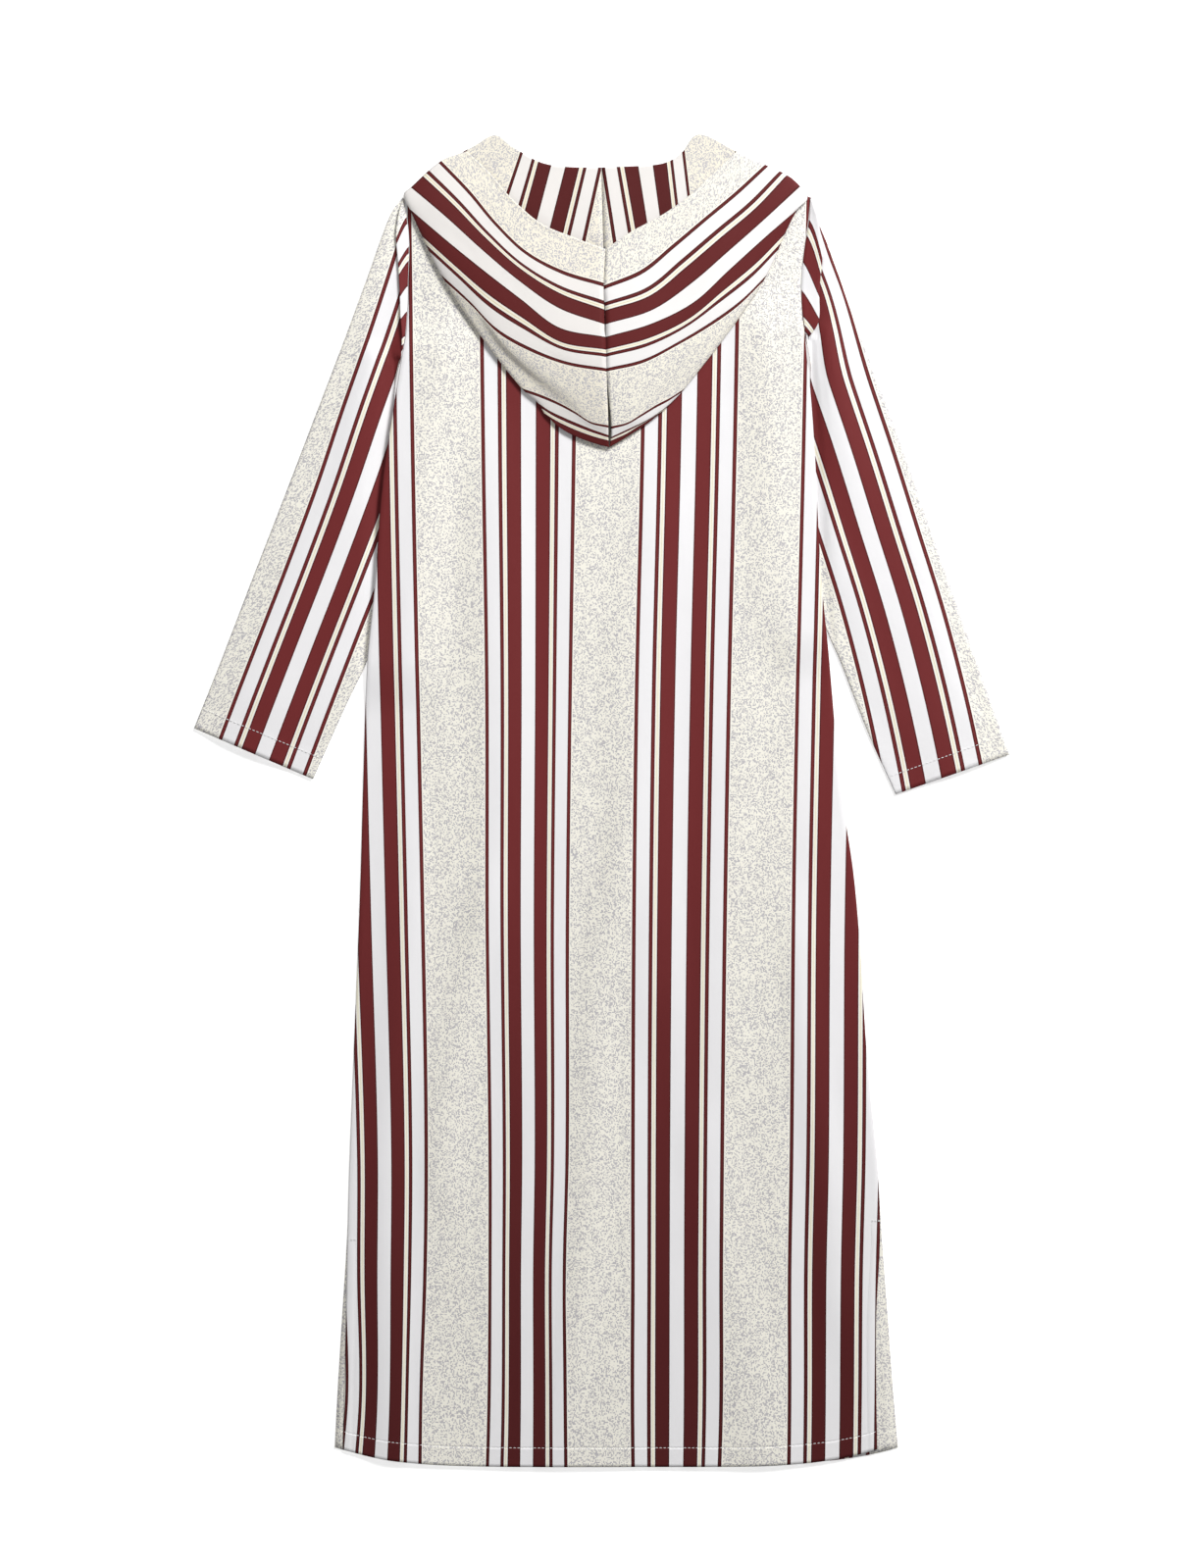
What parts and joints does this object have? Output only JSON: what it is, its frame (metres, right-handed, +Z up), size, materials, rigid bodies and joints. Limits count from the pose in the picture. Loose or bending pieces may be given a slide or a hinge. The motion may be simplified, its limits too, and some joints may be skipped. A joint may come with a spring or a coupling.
{
  "type": "hooded djellaba robe laid flat",
  "caption": "Long hooded robe with straight sleeves and side vents, laid flat on its front with the hood open over the back.",
  "frame": {"origin": "under the middle of the robe's outline, on the surface that it lies on", "axes": "+Y towards the hood, +X towards the sleeve at the right as seen from above, +Z up from the surface, out of the back"},
  "size_m": [0.864, 1.4114, 0.0142],
  "materials": {
    "body_cloth": "smooth woven cloth with a soft sheen, printed with burgundy, white and cream stripes between speckled bands",
    "sleeve_cloth": "the same striped cloth, with the stripes running down the sleeve",
    "hood_cloth": "the same striped cloth, with the stripes running along the face edge"
  },
  "bodies": {
    "root": {"front_panel": "body_cloth", "back_panel": "body_cloth", "sleeve_left": "sleeve_cloth", "sleeve_right": "sleeve_cloth", "hood_left": "hood_cloth", "hood_right": "hood_cloth"}
  },
  "joints": []
}
